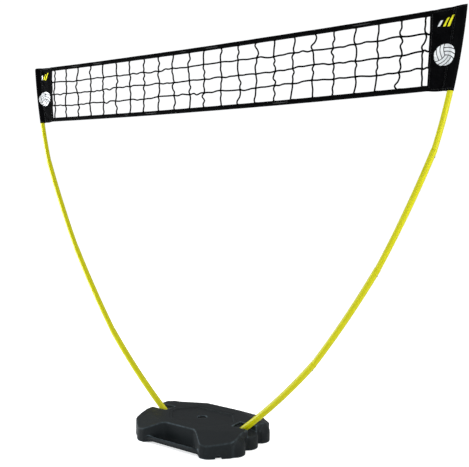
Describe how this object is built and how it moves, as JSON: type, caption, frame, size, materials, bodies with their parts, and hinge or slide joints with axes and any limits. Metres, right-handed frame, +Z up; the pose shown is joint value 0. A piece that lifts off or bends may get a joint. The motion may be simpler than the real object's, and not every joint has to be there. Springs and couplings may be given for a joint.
{
  "type": "volleyball net on poles",
  "caption": "Free-standing play net: black cord net with cloth end panels on bent yellow plug-together poles, standing in a fillable plastic base.",
  "frame": {"origin": "centre of the base's underside, on the ground", "axes": "+X along the net, +Y across it, +Z up"},
  "size_m": [2.8018, 0.572, 2.2],
  "materials": {
    "tank": "charcoal moulded polyethylene, fine grain",
    "plug": "black moulded polypropylene",
    "seal": "black rubber",
    "pole": "bright yellow glass-fibre tube, satin lacquer",
    "pole_cap": "black moulded plastic",
    "button": "zinc-plated steel",
    "spring": "spring steel strip",
    "panel_cloth": "black woven polyester with white and yellow print",
    "net_cord": "black knotted cord",
    "band_tape": "black folded webbing tape, stitched",
    "tension_cord": "black braided cord"
  },
  "bodies": {
    "stand": {"base_tank": "tank", "left_foot_section": "pole", "left_lower_section": "pole", "left_upper_section": "pole", "left_top_section": "pole", "right_foot_section": "pole", "right_lower_section": "pole", "right_upper_section": "pole", "right_top_section": "pole", "left_foot_plug": "pole_cap", "right_foot_plug": "pole_cap", "left_top_cap": "pole_cap", "right_top_cap": "pole_cap", "left_lower_button_spring": "spring", "left_middle_button_spring": "spring", "left_upper_button_spring": "spring", "right_lower_button_spring": "spring", "right_middle_button_spring": "spring", "right_upper_button_spring": "spring", "left_end_panel": "panel_cloth", "right_end_panel": "panel_cloth", "net_mesh": "net_cord", "top_band": "band_tape", "bottom_band": "band_tape", "top_cord": "tension_cord", "bottom_cord": "tension_cord"},
    "seal_ring": {"plug_seal": "seal"},
    "plug": {"filler_plug": "plug"},
    "left_lower_button": {"left_lower_snap_button": "button"},
    "left_middle_button": {"left_middle_snap_button": "button"},
    "left_upper_button": {"left_upper_snap_button": "button"},
    "right_lower_button": {"right_lower_snap_button": "button"},
    "right_middle_button": {"right_middle_snap_button": "button"},
    "right_upper_button": {"right_upper_snap_button": "button"}
  },
  "joints": [
    {"name": "plug_lift", "type": "slide", "parent": "stand", "child": "seal_ring", "axis": [0, 0, 1], "range_m": [0, 0.012]},
    {"name": "plug_turn", "type": "hinge", "parent": "seal_ring", "child": "plug", "pos_m": [0, 0, 0.095], "axis": [0, 0, 1], "range_deg": [0, 1085]},
    {"name": "left_lower_button_press", "type": "hinge", "parent": "stand", "child": "left_lower_button", "pos_m": [-0.67112, 0, 0.46301], "axis": [0, 1, 0], "range_deg": [0, 6], "stiffness_Nm_per_rad": 0.05},
    {"name": "left_middle_button_press", "type": "hinge", "parent": "stand", "child": "left_middle_button", "pos_m": [-1.00806, 0, 0.96831], "axis": [0, 1, 0], "range_deg": [0, 6], "stiffness_Nm_per_rad": 0.05},
    {"name": "left_upper_button_press", "type": "hinge", "parent": "stand", "child": "left_upper_button", "pos_m": [-1.2639, 0, 1.51872], "axis": [0, 1, 0], "range_deg": [0, 6], "stiffness_Nm_per_rad": 0.05},
    {"name": "right_lower_button_press", "type": "hinge", "parent": "stand", "child": "right_lower_button", "pos_m": [0.67112, 0, 0.46301], "axis": [0, -1, 0], "range_deg": [0, 6], "stiffness_Nm_per_rad": 0.05},
    {"name": "right_middle_button_press", "type": "hinge", "parent": "stand", "child": "right_middle_button", "pos_m": [1.00806, 0, 0.96831], "axis": [0, -1, 0], "range_deg": [0, 6], "stiffness_Nm_per_rad": 0.05},
    {"name": "right_upper_button_press", "type": "hinge", "parent": "stand", "child": "right_upper_button", "pos_m": [1.2639, 0, 1.51872], "axis": [0, -1, 0], "range_deg": [0, 6], "stiffness_Nm_per_rad": 0.05}
  ],
  "couplings": [
    {"joint": "plug_turn", "follows": "plug_lift", "rad_per_m": 1570.8}
  ]
}
